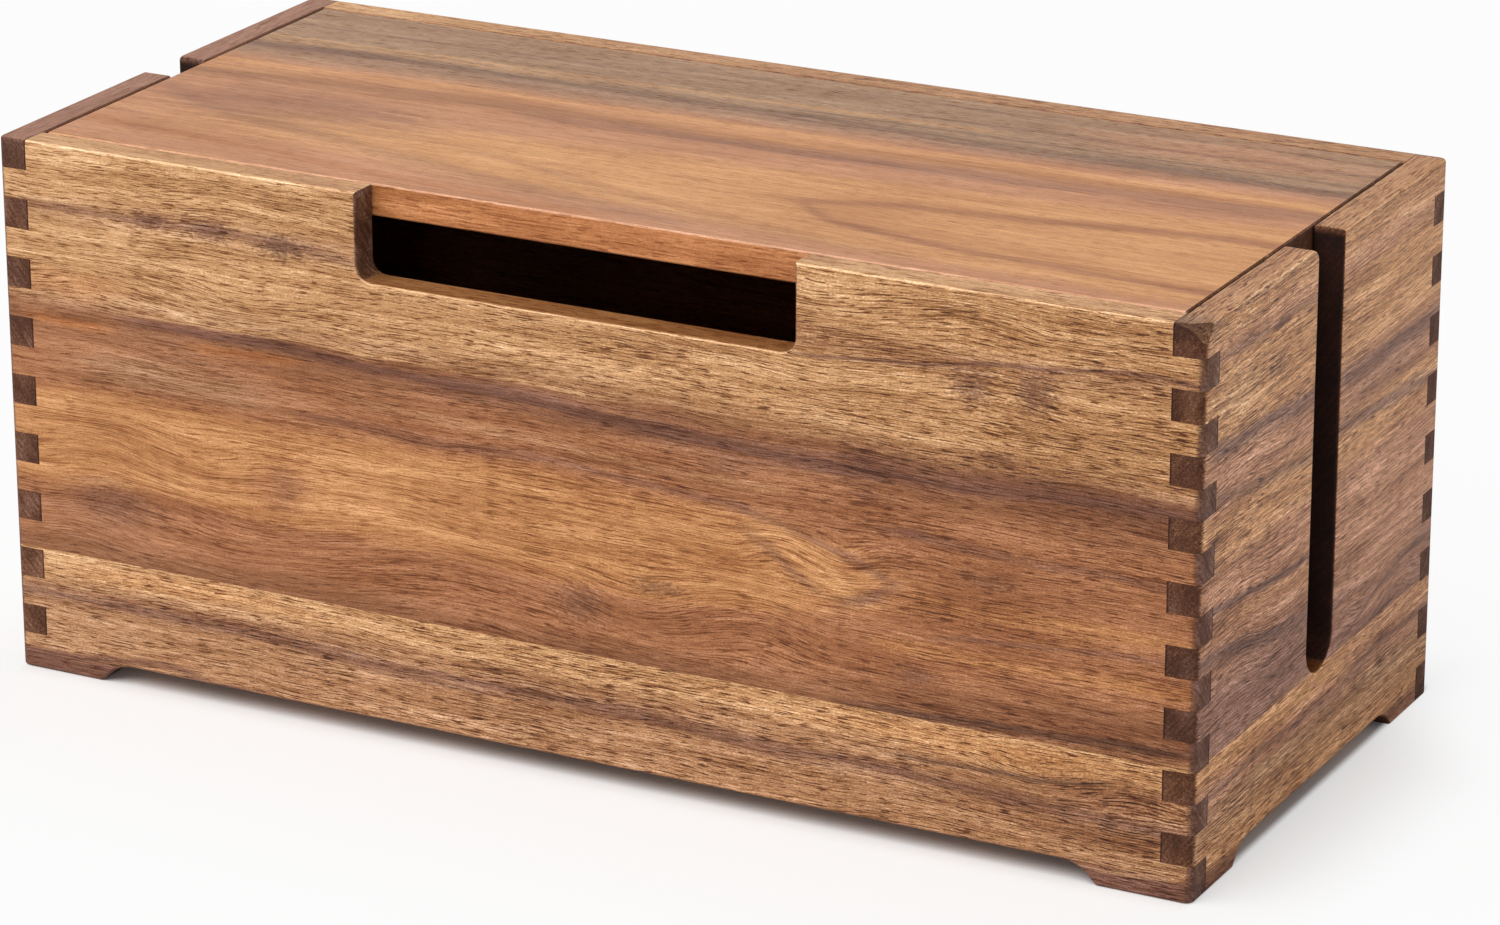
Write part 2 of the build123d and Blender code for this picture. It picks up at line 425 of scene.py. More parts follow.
FRONT_NARROW = Board(
    bands=(
        (0, "plum"),
        (4.8, "plum"),
        (6.8, "tan"),
        (21, "tan"),
        (30, "tan"),
        (34, "straw"),
        (42, "straw"),
    ),
    streaks=(
        Streak(((0, 26.5), (45, 26.5), (100, 25.5), (150, 23.8), (200, 24.8), (250, 23.5), (300, 22.5),
                (345, 22), (400, 20)), 3.2, "plum", 0.75),
        Streak(((8, 28.5), (45, 28.7), (95, 26.8)), 1.1, "chestnut", 0.7),
        Streak(((305, 27.8), (345, 29.5), (372, 31.5)), 1.3, "umber", 0.6),
        Streak(((0, 5.5), (25, 6.2), (38, 8), (52, 9), (70, 6.5)), 1.8, "plum", 0.8),
    ),
    patches=(
        Patch((60, 36), (60, 5), "honey", 0.6),
        Patch((330, 36), (85, 7), "honey", 0.6),
        Patch((375, 27.5), (36, 6.5), "chestnut", 0.7, mottled=True),
        Patch((362, 15.5), (26, 4), "chestnut", 0.5),
    ),
    turns=(Turn((365, 30), (40, 9), 9),),
    fade=((0, 1.04), (130, 1.0), (260, 0.94), (400, 0.88)),
    crisp=(0.85, 1.2),
    handled=(0.5, 0.9),
    thirst=-0.4,
    seed=2.0,
)

END_WIDE = Board(
    bands=(
        (0, "taupe"),
        (56, "taupe"),
        (72, "rose"),
        (95, "rose"),
        (101, "honey"),
        (112, "honey"),
        (117, "rose"),
        (128, "rose"),
        (136, "honey"),
        (156, "honey"),
        (160, "rose"),
        (170, "honey"),
        (174, "tan"),
        (180, "tan"),
    ),
    streaks=(
        Streak(((5, 135), (40, 132), (84, 128)), 4.0, "plum", 0.85),
        Streak(((100, 127), (140, 125.5), (182, 124.5)), 4.2, "plum", 0.85),
        Streak(((8, 119), (40, 114), (84, 110)), 3.0, "plum", 0.6),
        Streak(((100, 112), (140, 109), (182, 105)), 3.2, "plum", 0.8),
        Streak(((5, 87.5), (40, 82.5), (84, 79)), 1.8, "plum", 0.9),
        Streak(((8, 79), (50, 77), (84, 74)), 3.4, "amber", 0.6),
        Streak(((0, 72.5), (30, 68), (50, 64), (84, 61)), 3.8, "plum", 0.9),
        Streak(((45, 53), (84, 45)), 1.6, "plum", 0.6),
        Streak(((108, 42.5), (120, 46), (135, 50), (150, 52.5), (174, 53.5)), 1.1, "plum", 0.8),
        Streak(((5, 160), (84, 158)), 1.8, "plum", 0.4),
    ),
    patches=(
        Patch((140, 68), (54, 36), "rose", 0.85),
        Patch((140, 119), (46, 8), "plum", 0.35),
        Patch((28, 147), (34, 10), "straw", 0.5),
        Patch((30, 160), (12, 3), "plum", 0.5, mottled=True),
        Patch((55, 146), (8, 5), "plum", 0.45, mottled=True),
        Patch((2, 173), (12, 8), "cocoa", 0.45),
    ),
    turns=(Turn((42, 72), (48, 40), -7), Turn((42, 122), (48, 18), -4), Turn((140, 47), (34, 9), 10)),
    grain=1.25,
    crisp=(1.35, 0.6),
    handled=(0.75, 0.6),
    thirst=0.32,
    seed=3.0,
)

END_NARROW = Board(
    bands=(
        (0, "chestnut"),
        (5, "chestnut"),
        (8, "honey"),
        (24, "tan"),
        (28, "rose"),
        (31, "rose"),
        (35, "honey"),
        (42, "honey"),
    ),
    streaks=(
        Streak(((5, 30), (60, 29.5), (110, 27.5)), 2.4, "plum", 0.6),
        Streak(((110, 29), (150, 31.5), (182, 29.5)), 3.0, "plum", 0.6),
    ),
    patches=(
        Patch((145, 36), (52, 9), "rose", 0.7),
        Patch((123, 28), (4, 9), "chestnut", 0.5, mottled=True),
    ),
    grain=1.2,
    crisp=(1.2, 0.9),
    handled=(0.75, 0.6),
    thirst=0.32,
    seed=4.0,
)

LID = Board(
    heart=((0, 50, 41), (126, 51, 34), (252, 51.7, 24.9), (350, 54, 14.5), (400, 55, 0)),
    bands=(
        (0, "honey"),
        (20, "honey"),
        (25, "amber"),
        (27, "honey"),
        (36, "honey"),
        (42, "rose"),
        (52, "rose"),
        (60, "amber"),
        (70, "rose"),
        (80, "drift"),
        (120, "drift"),
    ),
    streaks=(
        Streak(((0, 90), (60, 95.5), (110, 99), (150, 99), (200, 97.5), (250, 99.5), (300, 102.5),
                (400, 107)), 7.0, "plum", 0.42),
        Streak(((125, 93), (190, 96), (240, 96), (320, 100)), 3.0, "plum", 0.35),
        Streak(((0, 104), (60, 107.5), (140, 112), (200, 113), (400, 116)), 4.0, "honey", 0.8),
        Streak(((0, 125), (60, 129)), 6.0, "plum", 0.5),
        Streak(((0, 124), (60, 128), (150, 130.5), (190, 131), (260, 132), (300, 131), (400, 133)),
               3.6, "umber", 0.5),
        Streak(((170, 126.5), (240, 128.5), (300, 128), (400, 130)), 1.4, "umber", 0.5),
        Streak(((0, 120), (70, 123.5), (160, 125), (260, 126), (400, 127)), 6.0, "taupe", 0.3),
        Streak(((0, 137), (60, 138), (150, 140), (270, 143)), 2.4, "straw", 0.6),
        Streak(((0, 132), (60, 134), (130, 135.5)), 2.0, "straw", 0.5),
        Streak(((200, 137), (300, 139), (400, 141)), 1.3, "umber", 0.45),
        Streak(((0, 152), (90, 153), (180, 156)), 1.5, "plum", 0.45),
        Streak(((230, 149), (330, 151), (400, 152)), 1.8, "plum", 0.5),
        Streak(((150, 161), (280, 163), (400, 164)), 1.5, "umber", 0.35),
        Streak(((12, 75), (40, 58), (90, 45), (150, 32), (230, 18)), 6.0, "plum", 0.28),
        Streak(((30, 88), (80, 68), (130, 55), (200, 37), (270, 22)), 4.0, "russet", 0.35),
        Streak(((10, 33), (60, 27), (120, 20), (200, 13)), 3.5, "sienna", 0.45),
        Streak(((165, 47), (185, 37), (210, 29.5), (250, 23), (300, 20.5)), 2.2, "straw", 0.5),
        Streak(((250, 54), (265, 59), (300, 65), (340, 71.5), (400, 78)), 3.6, "russet", 0.9),
        Streak(((249, 52), (262, 42), (285, 36.5), (320, 32), (400, 28)), 3.6, "russet", 0.9),
    ),
    patches=(
        Patch((66, 68), (66, 26), "plum", 0.4),
        Patch((50, 32), (60, 14), "amber", 0.5),
        Patch((335, 51), (70, 15), "honey", 0.7),
        Patch((280, 156), (12, 5), "plum", 0.35),
        Patch((345, 154), (80, 20), "rose", 0.55),
        Patch((335, 133), (50, 5), "umber", 0.35, mottled=True),
    ),
    grain=0.95,
    crisp=(0.65, 0.65),
    seed=5.0,
)

BACK_WIDE = Board(
    heart=((0, 96, 30), (140, 98, 12), (260, 100, 8), (400, 104, 26)),
    bands=FRONT_WIDE.bands,
    streaks=(Streak(((0, 61), (130, 64), (270, 60), (400, 66)), 4.0, "plum", 0.7),),
    patches=(Patch((140, 120), (60, 14), "honey", 0.5), Patch((300, 70), (70, 14), "russet", 0.5)),
    handled=(0.6, 0.0),
    seed=6.0,
)

BACK_NARROW = Board(
    bands=FRONT_NARROW.bands,
    streaks=(Streak(((0, 20), (120, 22), (260, 25), (400, 24)), 3.0, "plum", 0.7),),
    seed=7.0,
)

LEFT_WIDE = Board(
    bands=(
        (0, "drift"),
        (56, "rose"),
        (80, "tan"),
        (104, "rose"),
        (130, "tan"),
        (150, "rose"),
        (160, "taupe"),
        (180, "taupe"),
    ),
    streaks=(
        Streak(((0, 118), (80, 124), (182, 128)), 4.0, "plum", 0.7),
        Streak(((0, 66), (80, 72), (182, 70)), 4.5, "plum", 0.6),
    ),
    seed=8.0,
)

LEFT_NARROW = Board(
    bands=END_NARROW.bands,
    streaks=(Streak(((0, 24), (182, 26)), 3.0, "plum", 0.6),),
    seed=9.0,
)

FLOOR_BOARD = Board(bands=((0, "drift"), (60, "tan"), (110, "rose"), (150, "tan"), (182, "drift")), seed=10.0)

REST_STRIP = Board(bands=((0, "russet"), (150, "russet"), (156, "chestnut"), (163, "russet")), seed=11.0)


# ------------------------------------------------------------------ acacia
DARKENING = (1.0, 1.36, 1.8)  # how fast red, green and blue sink as the wood gets darker
OPEN_GRAIN = {"straw": 1.0, "tan": 1.0, "honey": 0.6, "amber": 0.35, "rose": 0.5, "drift": 1.5}
SOME_GRAIN = 0.5  # how open-grained the other colours are
FACE_UP_GRAIN = 0.55  # how strong the grain is on faces that look up

# How much a part of the wood is lighter or darker, as a logarithm of its red: -0.7 leaves half of it.
RECESS_PAINTED_SHADE = {"front": -0.35, "back": -0.35, "left": -1.7, "right": -1.7}  # painted shade in the notch and the slots
INNER_PAINTED_SHADE = -0.9  # painted shade on inner faces, for the shadow inside the box
LID_EDGE_PAINTED_SHADE = -0.45  # painted shade on lid edges that the walls hide, for the shadow in the gap
END_SHADE = -0.75  # end grain, against the faces
EDGE_PAINTED_SHADE, EDGE_PAINTED_HIGHLIGHT = -0.35, 0.4  # painted shade and painted highlight on eased edges that look down and up
FIBRE_SHADE = -0.6  # long dark fibres
DASH_SHADE, OPEN_DASH_SHADE = -0.35, -1.05  # short dark dashes, and what open grain adds to them
PORE_SHADE = -0.35  # open pores
EVEN_SHADE = 0.08  # all of the wood, to make up for the fibres, dashes and pores

# Millimetres
SWAY = 4  # how far the grain sways
LIFT_REACH = 35  # how far above the heart line the rings are lifted in full
RAGGED = 6  # how far the fibres tear the edges of the rings
STREAK_END = 7  # where a streak runs out, before and past its end
LID_FRONT = 12  # from the front of the box: the lid's edge before it is the one in the hand notch
SOILED = (2.4, 0.9)  # from an upright corner, where the soil of hands starts and where it is full
FINGERS = (15, 19)  # from a corner, where the finger joints are left behind
SHADE_RISE = (28, 60)  # from the floor, where painted shade on a slot's sides starts and where it is full

RING_SLOPE = 0.35  # how fast the rings sink into the board
PORE_SPACINGS = (2.3, 3.1)  # between the pores of each layer, in their own widths
PORE_ROUGHNESS, END_ROUGHNESS = 0.2, 0.3  # what pores and end grain add to the roughness
NOTCH_GLINT = 0.85  # share of sienna on the edge of the lid that the hand notch shows


class Spot:
    """Where a shaded point lies in its board, as wires in millimetres, and which way its face looks."""

    def __init__(self, graph, lie, board):
        place, normal = graph.node("ShaderNodeTexCoord", None, None, ("Object", "Normal"))
        scaled = graph.node("ShaderNodeVectorMath", {"operation": "SCALE"}, {0: place, "Scale": MM})
        x, y, z = graph.node("ShaderNodeSeparateXYZ", None, {0: scaled}, "XYZ")
        look_x, look_y, self.up = graph.node("ShaderNodeSeparateXYZ", None, {0: normal}, "XYZ")
        look_x, look_y = abs(look_x), abs(look_y)
        from_left, from_front = x + LENGTH / 2, y + DEPTH / 2
        self.length = LENGTH
        self.along, self.end_on, self.face_on = from_left, look_x, look_y
        self.rise = z
        if lie == "front":
            self.depth = from_front
        elif lie == "back":
            self.depth = DEPTH - from_front
        elif lie == "lying":
            self.rise, self.depth = from_front, HEIGHT - z
        else:
            self.length = DEPTH
            self.along, self.end_on, self.face_on = from_front, look_y, look_x
            self.depth = from_left if lie == "left" else LENGTH - from_left
        flat = graph.maths("MAXIMUM", graph.maths("MAXIMUM", look_x, look_y), abs(self.up))
        self.eased = graph.smooth(0.985, 0.85, flat)
        self.crisp = self.along / self.length * (board.crisp[1] - board.crisp[0]) + board.crisp[0]
        slow = graph.noise(self.along / 55 + board.seed * 7, self.rise / 24, self.depth / 60, 1.0)
        self.sway = self.rise + slow * SWAY
        self.bent = self.sway
        for turn in board.turns:
            past = self.along - turn.middle[0]
            near = graph.smooth(1.0, 0.1, distance(graph, self.along, self.rise, turn))
            self.bent = self.bent - past * near * tan(radians(turn.angle))


def distance(graph, along, rise, place):
    """How far a point is from the middle of a patch or a turn: 1 at its reach."""
    across = (along - place.middle[0]) / place.reach[0]
    up = (rise - place.middle[1]) / place.reach[1]
    return graph.maths("SQRT", across * across + up * up)


def grain(graph, spot, size, shift, detail=2.0):
    """Noise drawn out along the fibres, with lumps of a (length, width, depth) in millimetres."""
    length, width, depth = size
    return graph.noise(spot.along / length + shift, spot.bent / width, spot.depth / depth, detail)


def figure_level(graph, spot, board):
    """Which growth ring a point lies in."""
    sunk = spot.depth * RING_SLOPE
    if not board.heart:
        return spot.sway + sunk
    heart_rises = [(along, rise) for along, rise, _ in board.heart]
    heart_levels = [(along, level) for along, _, level in board.heart]
    lifted = spot.sway
    if board.lift:
        foot = heart_rises[0][1]
        high = graph.smooth(foot, foot + LIFT_REACH, spot.rise)
        lifted = lifted + graph.curve(spot.along, board.lift) * high
    beside = lifted - graph.curve(spot.along, heart_rises)
    under = graph.curve(spot.along, heart_levels) + sunk
    return graph.maths("SQRT", beside * beside + under * under)


def figure_colour(graph, spot, level, board, colours):
    """The colour of the growth rings, streaks and clouds, and how open-grained the wood is there."""
    stops = [
        (mm / REACH, getattr(colours, name), OPEN_GRAIN.get(name, SOME_GRAIN)) for mm, name in board.bands
    ]
    ragged = level + graph.noise(spot.along / 30, spot.bent / 2.2, spot.depth / 5 + board.seed) * RAGGED
    colour, open_grain = graph.node(
        "ShaderNodeValToRGB", {"stops": stops}, {"Fac": ragged / REACH}, ("Color", "Alpha")
    )
    cloudy = graph.noise(spot.along / 30, spot.bent / 2.6, board.seed) * 1.2
    specked = graph.noise(spot.along / 1.8, spot.bent / 0.8, board.seed + 1, 1.0) * 2.4
    frayed = graph.noise(spot.along / 34, spot.bent / 1.4, board.seed + 3) * 1.8
    for patch in board.patches:
        edge = distance(graph, spot.along, spot.sway, patch) + (specked if patch.mottled else cloudy)
        inside = graph.smooth(1.0, 0.2, edge)
        colour = graph.mix(inside * patch.strength, colour, rgba(getattr(colours, patch.colour)))
    for streak in board.streaks:
        off = abs(spot.sway - graph.curve(spot.along, streak.path)) / streak.width
        inside = graph.smooth(1.2, 0.1, off + frayed)
        first, last = streak.path[0][0], streak.path[-1][0]
        if first > 0:
            inside = inside * graph.smooth(first - STREAK_END, first + STREAK_END, spot.along)
        if last < spot.length:
            inside = inside * graph.smooth(last + STREAK_END, last - STREAK_END, spot.along)
        colour = graph.mix(inside * streak.strength, colour, rgba(getattr(colours, streak.colour)))
    return colour, open_grain


def fibre_tone(graph, spot, level, board, open_grain):
    """Lighter and darker fibres, from broad ribbons down to single hairs, as a logarithm round zero."""
    shift = board.seed * 11
    broad = graph.noise(spot.along / 80 + shift, level / 7, spot.depth / 9)
    lines = grain(graph, spot, (45, 2.4, 4), shift) * 0.85
    threads = grain(graph, spot, (38, 0.7, 0.7), shift) * 0.9
    hair = grain(graph, spot, (5, 0.4, 0.4), shift, 1.0) * 1.25
    grit = grain(graph, spot, (0.8, 0.4, 0.4), shift, 0.0) * 0.8
    return broad + lines + (threads + (hair + grit) * spot.crisp) * (open_grain * 0.3 + 0.75)


def dark_cuts(graph, spot, board, open_grain):
    """Long dark fibres and short dark dashes, crowded in some places and sparse in others, as a logarithm."""
    shift = board.seed * 13
    crowd = grain(graph, spot, (40, 8, 8), shift) * 0.5
    fibre = grain(graph, spot, (22, 0.5, 0.6), shift, 0.0)
    dash = grain(graph, spot, (6.5, 0.42, 0.6), shift)
    fibre = graph.smooth(0.12, 0.24, fibre + crowd) * FIBRE_SHADE
    dash = graph.smooth(0.06, 0.13, dash + crowd * 0.4) * (open_grain * OPEN_DASH_SHADE + DASH_SHADE)
    return (fibre + dash) * spot.crisp


def open_pores(graph, spot, board, acacia):
    """Where a vessel of the wood is cut open lengthwise: 1 in the pore and 0 beside it."""
    width = acacia.pore_width * MM
    length = acacia.pore_length * MM
    pores = None
    for layer, spacing in enumerate(PORE_SPACINGS):
        size = (length * spacing * 0.5, width * spacing, width * spacing)
        place = graph.vector(
            spot.along / size[0] + board.seed * 5 + layer * 17, spot.bent / size[1], spot.depth / size[2]
        )
        inputs = {"Vector": place, "Scale": 1.0, "Randomness": 1.0}
        gap, chance = graph.node("ShaderNodeTexVoronoi", {"feature": "F1"}, inputs, ("Distance", "Color"))
        lucky = graph.node("ShaderNodeSeparateXYZ", None, {0: chance}, "X")
        found = graph.smooth(0.28, 0.18, gap + graph.smooth(0.4, 1.0, lucky) * 0.2)
        pores = found if pores is None else graph.maths("MAXIMUM", pores, found)
    crowd = graph.smooth(-0.28, 0.16, graph.noise(spot.along / 60 + board.seed, spot.bent / 9, 4.0))
    return pores * crowd


def end_grain_colour(graph, spot, board, colour, acacia):
    """Darker wood with fine specks and rays, where the boards were sawn across."""
    speckle = graph.noise(spot.rise / 0.9, spot.depth / 0.9, spot.along / 0.9, 2.0) * 1.6
    across, down = spot.depth + spot.rise * 0.8, spot.rise - spot.depth * 0.8
    rays = graph.noise(across / 1.1, down / 12, board.seed + spot.along / 3, 1.0) * 1.4
    patchy = graph.noise(spot.rise / 12, spot.depth / 6, board.seed + 4, 0.0) * 1.2
    drunk = graph.mix(0.75, stain(graph, colour, END_SHADE), rgba(acacia.cocoa))
    return stain(graph, drunk, speckle + rays + patchy - board.thirst)


def recess_shade_mask(graph, spot):
    """Above 0 on the sides of the hand notch and of the slots, where painted shade stands for the shadow in
    them.
    """
    shade_share = graph.smooth(0.8, 0.5, spot.face_on) * graph.smooth(HEIGHT - 1.2, HEIGHT - 3, spot.rise)
    near, far = spot.along, spot.length - spot.along
    shade_share = shade_share * graph.smooth(*FINGERS, near) * graph.smooth(*FINGERS, far)
    shade_share = shade_share * graph.smooth(*SHADE_RISE, spot.rise) * graph.smooth(BOARD + 0.3, BOARD, spot.depth)
    # The painted shade is stronger on faces that look up, which the lamps light more.
    return shade_share * (graph.smooth(0.2, 0.9, spot.up) * 0.9 + 1.0)


def stain(graph, colour, tone):
    """A colour made darker or lighter by a logarithm: the darker it gets, the redder."""
    if isinstance(tone, Wire):
        shares = graph.vector(*(graph.maths("EXPONENT", tone * share) for share in DARKENING))
    else:
        shares = tuple(exp(tone * share) for share in DARKENING)
    return graph.tint(colour, shares)


def acacia_material(name, lie, board):
    """Oiled acacia with the figure of one board."""
    acacia = bpy.context.scene.acacia
    material = bpy.data.materials.new(name)
    graph = Graph(material)
    spot = Spot(graph, lie, board)
    level = figure_level(graph, spot, board)
    colour, open_grain = figure_colour(graph, spot, level, board, acacia)

    pores = open_pores(graph, spot, board, acacia) * open_grain
    tone = fibre_tone(graph, spot, level, board, open_grain) + dark_cuts(graph, spot, board, open_grain)
    tone = tone + pores * PORE_SHADE + EVEN_SHADE
    upright = graph.smooth(1.0, 0.0, spot.up)
    tone = tone * (upright * (1 - FACE_UP_GRAIN) + FACE_UP_GRAIN) * board.grain
    # Painted shade: upright faces get darker along the board, as if the light fell off towards the right.
    # The curve is drawn in millimetres, so the shares of light go through it as per cent.
    fade = graph.curve(spot.along, [(along, share * 100) for along, share in board.fade]) / 100
    # Painted highlight on eased edges that look up and painted shade on those that look down.
    painted_edge_light = graph.smooth(-0.3, 0.3, spot.up) * (EDGE_PAINTED_HIGHLIGHT - EDGE_PAINTED_SHADE) + EDGE_PAINTED_SHADE
    colour = stain(graph, colour, tone + graph.maths("LOGARITHM", fade, e) * upright + spot.eased * painted_edge_light)

    end_grain = graph.smooth(0.25, 0.65, spot.end_on)
    colour = graph.mix(end_grain, colour, end_grain_colour(graph, spot, board, colour, acacia))
    if lie == "lying":
        edge = graph.smooth(0.5, 0.2, abs(spot.up))
        front = graph.smooth(LID_FRONT + 0.5, LID_FRONT - 0.5, spot.rise)
        glint = stain(graph, tuple(acacia.sienna), tone * 0.9 + 0.1)
        colour = graph.mix(edge * front * NOTCH_GLINT, colour, glint)
        # Painted shade on the lid's other edges, as the shadow in the gap beside the walls.
        colour = stain(graph, colour, edge * (1 - front) * LID_EDGE_PAINTED_SHADE)
    else:
        # Painted shade: inner faces as the shadow inside the box, and the sides of the notch and slots as the
        # shadow in them.
        painted_inner_shade = graph.smooth(BOARD - 0.7, BOARD - 0.3, spot.depth) * INNER_PAINTED_SHADE
        colour = stain(graph, colour, painted_inner_shade + recess_shade_mask(graph, spot) * RECESS_PAINTED_SHADE[lie])
    for place, strength in zip((spot.along, spot.length - spot.along), board.handled):
        if strength:
            soiled = graph.smooth(*SOILED, place) * (1 - end_grain) * strength
            colour = graph.mix(soiled, colour, rgba(acacia.cocoa))

    bump = graph.node(
        "ShaderNodeBump", None, {"Height": tone * 0.5, "Strength": 0.6, "Distance": acacia.pore_depth}
    )
    roughness = acacia.roughness + pores * PORE_ROUGHNESS + end_grain * END_ROUGHNESS
    surface = graph.node(
        "ShaderNodeBsdfPrincipled",
        None,
        {"Base Color": colour, "Roughness": roughness, "Normal": bump, "Specular IOR Level": acacia.gloss},
    )
    graph.node("ShaderNodeOutputMaterial", None, {"Surface": surface})
    return material


def finish_nodes(material, *names):
    """Gives CAD nodes their material."""
    for name in names:
        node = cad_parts[name]
        node.data.materials.clear()
        node.data.materials.append(material)


# ------------------------------------------------------------------ operators for the boards
class BOX_OT_front_wall(bpy.types.Operator):
    """Finish the front wall: a wide stave with a cathedral figure over a narrow striped one"""

    bl_idname = "cable_box.front_wall"
    bl_label = "Front wall"

    def execute(self, context):
        finish_nodes(acacia_material("front_wide_acacia", "front", FRONT_WIDE), "front_wall_upper_stave")
        finish_nodes(acacia_material("front_narrow_acacia", "front", FRONT_NARROW), "front_wall_lower_stave")
        return {"FINISHED"}


class BOX_OT_back_wall(bpy.types.Operator):
    """Finish the back wall"""

    bl_idname = "cable_box.back_wall"
    bl_label = "Back wall"

    def execute(self, context):
        finish_nodes(acacia_material("back_wide_acacia", "back", BACK_WIDE), "back_wall_upper_stave")
        finish_nodes(acacia_material("back_narrow_acacia", "back", BACK_NARROW), "back_wall_lower_stave")
        return {"FINISHED"}


class BOX_OT_end_walls(bpy.types.Operator):
    """Finish the end walls, each wide stave parted by its cable slot"""

    bl_idname = "cable_box.end_walls"
    bl_label = "End walls"

    def execute(self, context):
        for side, wide, narrow in (("right", END_WIDE, END_NARROW), ("left", LEFT_WIDE, LEFT_NARROW)):
            cheeks = (f"{side}_end_front_stave", f"{side}_end_back_stave")
            finish_nodes(acacia_material(f"{side}_wide_acacia", side, wide), *cheeks)
            finish_nodes(acacia_material(f"{side}_narrow_acacia", side, narrow), f"{side}_end_lower_stave")
        return {"FINISHED"}


class BOX_OT_lid(bpy.types.Operator):
    """Finish the lid, one board with its growth rings in a long tongue"""

    bl_idname = "cable_box.lid"
    bl_label = "Lid"

    def execute(self, context):
        finish_nodes(acacia_material("lid_acacia", "lying", LID), "lid")
        return {"FINISHED"}


class BOX_OT_inside(bpy.types.Operator):
    """Finish the bottom panel and the four strips that the lid rests on"""

    bl_idname = "cable_box.inside"
    bl_label = "Inside"

    def execute(self, context):
        finish_nodes(acacia_material("panel_acacia", "lying", FLOOR_BOARD), "bottom_panel")
        for side in ("left", "right"):
            rests = [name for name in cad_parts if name.startswith(f"lid_rest_{side}")]
            finish_nodes(acacia_material(f"{side}_rest_acacia", side, REST_STRIP), *rests)
        return {"FINISHED"}


# ------------------------------------------------------------------ studio
KEY_PLACE = (-0.6, -1.1, 1.9)  # metres: where the key lamp shines from, towards the foot of the box
SENSOR = 36.0  # millimetres across the camera's picture
FAR_CLIP = 50.0  # metres that the camera sees
FLOOR_REACH = 6.0  # metres of floor on each side of the box
NEAR_GLOW, FAR_GLOW = 0.55, 0.93  # share of the floor's light that is its own glow, close by and well clear
GLOW_START = 0.008  # metres from the box where the glow has set in
GLOW_REACH = 0.13  # metres from the box where it is at its full
END_PINCH = 2.5  # how many times narrower the shadow is past the ends of the box
END_INSET = 0.003  # metres that the glow reaches in under the ends
BACK_PINCH = 0.08  # metres that the shadow is narrower behind the box


def make_floor(colour):
    """A wide pale floor that the box stands on.

    The eye sees part of its light as a glow, so that it is white and still holds the box's shadow.
    """
    mesh = bpy.data.meshes.new("studio_floor")
    corners = [(x * FLOOR_REACH, y * FLOOR_REACH, 0) for x, y in ((-1, -1), (1, -1), (1, 1), (-1, 1))]
    mesh.from_pydata(corners, [], [(0, 1, 2, 3)])
    floor = bpy.data.objects.new("studio_floor", mesh)
    bpy.context.scene.collection.objects.link(floor)
    material = bpy.data.materials.new("studio_floor")
    graph = Graph(material)
    lit = graph.node("ShaderNodeBsdfDiffuse", None, {"Color": rgba(colour)})
    glow = graph.node("ShaderNodeEmission", None, {"Color": rgba(colour)})
    place = graph.node("ShaderNodeTexCoord", None, None, ("Object",))
    x, y, _ = graph.node("ShaderNodeSeparateXYZ", None, {0: place}, "XYZ")
    gap_x = graph.maths("MAXIMUM", abs(x) - LENGTH / MM / 2 + END_INSET, 0.0) * END_PINCH
    gap_y = graph.maths("MAXIMUM", abs(y) - DEPTH / MM / 2, 0.0)
    gap = graph.maths("SQRT", gap_x * gap_x + gap_y * gap_y)
    clear = gap + graph.smooth(0.02, 0.1, y) * BACK_PINCH
    share = graph.smooth(GLOW_START, GLOW_REACH, clear) * (FAR_GLOW - NEAR_GLOW) + NEAR_GLOW
    share = graph.smooth(-0.001, GLOW_START, gap) * share
    seen = graph.node("ShaderNodeLightPath", None, None, ("Is Camera Ray",))
    surface = graph.node("ShaderNodeMixShader", None, {0: seen * share, 1: lit, 2: glow})
    graph.node("ShaderNodeOutputMaterial", None, {"Surface": surface})
    mesh.materials.append(material)


def make_sky(strength):
    """Light from all round, which the eye and reflections see as white."""
    world = bpy.data.worlds.new("studio_sky")
    bpy.context.scene.world = world
    graph = Graph(world)
    rays = graph.node(
        "ShaderNodeLightPath", None, None, ("Is Camera Ray", "Is Glossy Ray", "Is Transmission Ray")
    )
    seen = graph.maths("MAXIMUM", graph.maths("MAXIMUM", rays[0], rays[1]), rays[2])
    light = graph.node("ShaderNodeBackground", None, {"Strength": strength + seen * (1 - strength)})
    graph.node("ShaderNodeOutputWorld", None, {"Surface": light})


def make_key(studio):
    """A wide soft lamp far off at the front left, above the box."""
    lamp = bpy.data.lights.new("key_lamp", "SUN")
    lamp.energy = studio.key
    lamp.angle = studio.key_width
    stand = bpy.data.objects.new("key_lamp", lamp)
    bpy.context.scene.collection.objects.link(stand)
    stand.location = KEY_PLACE
    stand.rotation_euler = (-Vector(KEY_PLACE)).to_track_quat("-Z", "Y").to_euler()


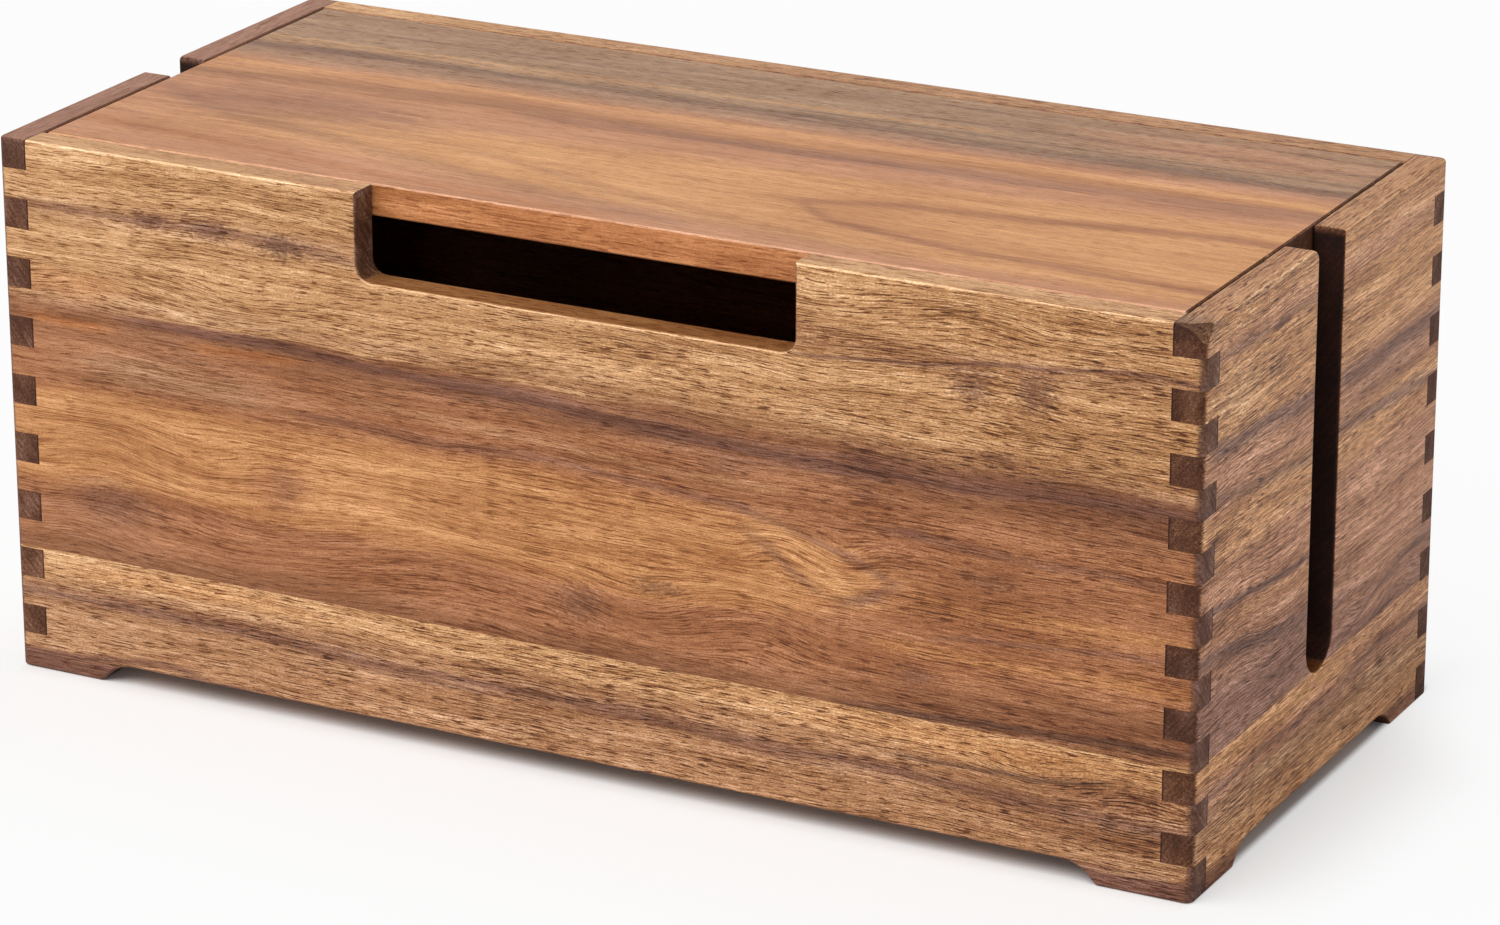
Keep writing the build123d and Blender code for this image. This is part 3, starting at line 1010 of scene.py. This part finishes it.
def make_camera(studio):
    """The camera, turned round the box from the front and tilted down."""
    camera = bpy.data.cameras.new("camera")
    camera.sensor_width = SENSOR
    camera.lens = studio.lens
    camera.clip_end = FAR_CLIP
    stand = bpy.data.objects.new("camera", camera)
    bpy.context.scene.collection.objects.link(stand)
    turn = Matrix.Rotation(studio.azimuth, 4, "Z")
    tilt = Matrix.Rotation(radians(90) - studio.elevation, 4, "X")
    roll = Matrix.Rotation(studio.roll, 4, "Z")
    stand.matrix_world = Matrix.Translation(studio.eye) @ turn @ tilt @ roll
    bpy.context.scene.camera = stand


class BOX_OT_studio(bpy.types.Operator):
    """Set up the pale floor, the soft light and the camera"""

    bl_idname = "cable_box.studio"
    bl_label = "Studio"

    def execute(self, context):
        studio = context.scene.studio
        context.scene.view_settings.view_transform = "Standard"
        make_floor(studio.floor)
        make_sky(studio.sky)
        make_key(studio)
        make_camera(studio)
        return {"FINISHED"}


# ------------------------------------------------------------------ add-on
OPERATORS = (BOX_OT_front_wall, BOX_OT_back_wall, BOX_OT_end_walls, BOX_OT_lid, BOX_OT_inside, BOX_OT_studio)


class BOX_PT_panel(bpy.types.Panel):
    """The box's boards and the studio"""

    bl_idname = "BOX_PT_panel"
    bl_label = "Cable box"
    bl_space_type = "VIEW_3D"
    bl_region_type = "UI"
    bl_category = "Cable box"

    def draw(self, context):
        for operator in OPERATORS:
            self.layout.operator(operator.bl_idname)
        for settings in (context.scene.acacia, context.scene.studio):
            for name in settings.__annotations__:
                self.layout.prop(settings, name)


CLASSES = (AcaciaSettings, StudioSettings, *OPERATORS, BOX_PT_panel)


def register():
    for cls in CLASSES:
        bpy.utils.register_class(cls)
    bpy.types.Scene.acacia = PointerProperty(type=AcaciaSettings)
    bpy.types.Scene.studio = PointerProperty(type=StudioSettings)


def unregister():
    del bpy.types.Scene.studio
    del bpy.types.Scene.acacia
    for cls in reversed(CLASSES):
        bpy.utils.unregister_class(cls)


def main():
    """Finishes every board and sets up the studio."""
    register()
    for operator in OPERATORS:
        group, name = operator.bl_idname.split(".")
        getattr(getattr(bpy.ops, group), name)()


if __name__ == "__main__":
    main()
